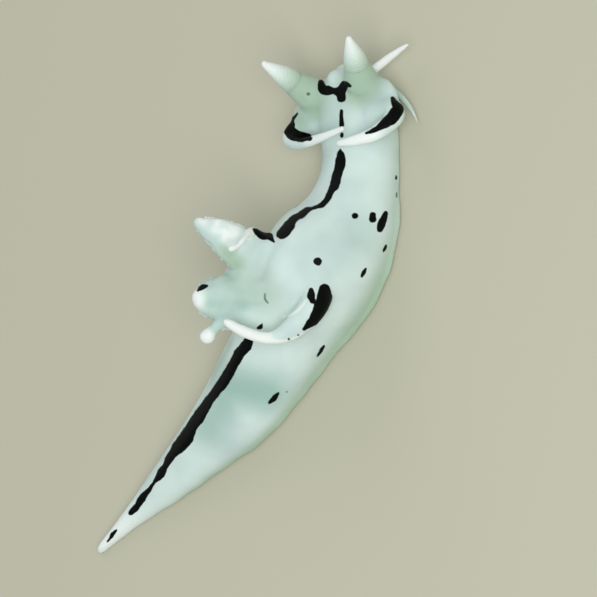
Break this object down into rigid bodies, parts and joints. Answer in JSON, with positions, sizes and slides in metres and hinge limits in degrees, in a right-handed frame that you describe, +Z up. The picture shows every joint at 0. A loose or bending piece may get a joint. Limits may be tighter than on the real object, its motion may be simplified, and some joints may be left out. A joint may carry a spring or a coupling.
{
  "type": "sea slug, trapania huarmeyana",
  "caption": "Life-size still model of a crawling sea slug with ringed rhinophores, paired head and gill appendages, branched gills and a long keeled tail.",
  "frame": {"origin": "on the floor under the middle of the box round the whole animal", "axes": "+Z up from the floor, the head points along -Y, the tail along +Y, the animal's right side along -X"},
  "size_m": [0.0082, 0.0229, 0.0056],
  "materials": {
    "skin": "moist, soft, slightly translucent, white with black marks",
    "sole": "moist, soft, slightly translucent",
    "white_process": "moist, opaque white",
    "rhinophore": "moist, translucent below and opaque white above",
    "gill": "moist, translucent with opaque white tips"
  },
  "bodies": {
    "root": {"head": "skin", "neck": "skin", "trunk_front": "skin", "trunk_rear": "skin", "tail_front": "skin", "tail_rear": "skin", "foot_front": "sole", "foot_middle": "sole", "foot_rear": "sole", "oral_tentacle_right": "white_process", "oral_tentacle_left": "white_process", "foot_corner_right": "white_process", "foot_corner_left": "white_process", "head_appendage_right": "white_process", "head_appendage_left": "white_process", "gill_appendage_right": "white_process", "gill_appendage_left": "white_process", "rhinophore_right": "rhinophore", "rhinophore_left": "rhinophore", "gill_front": "gill", "gill_left": "gill", "gill_rear": "gill"}
  },
  "joints": []
}
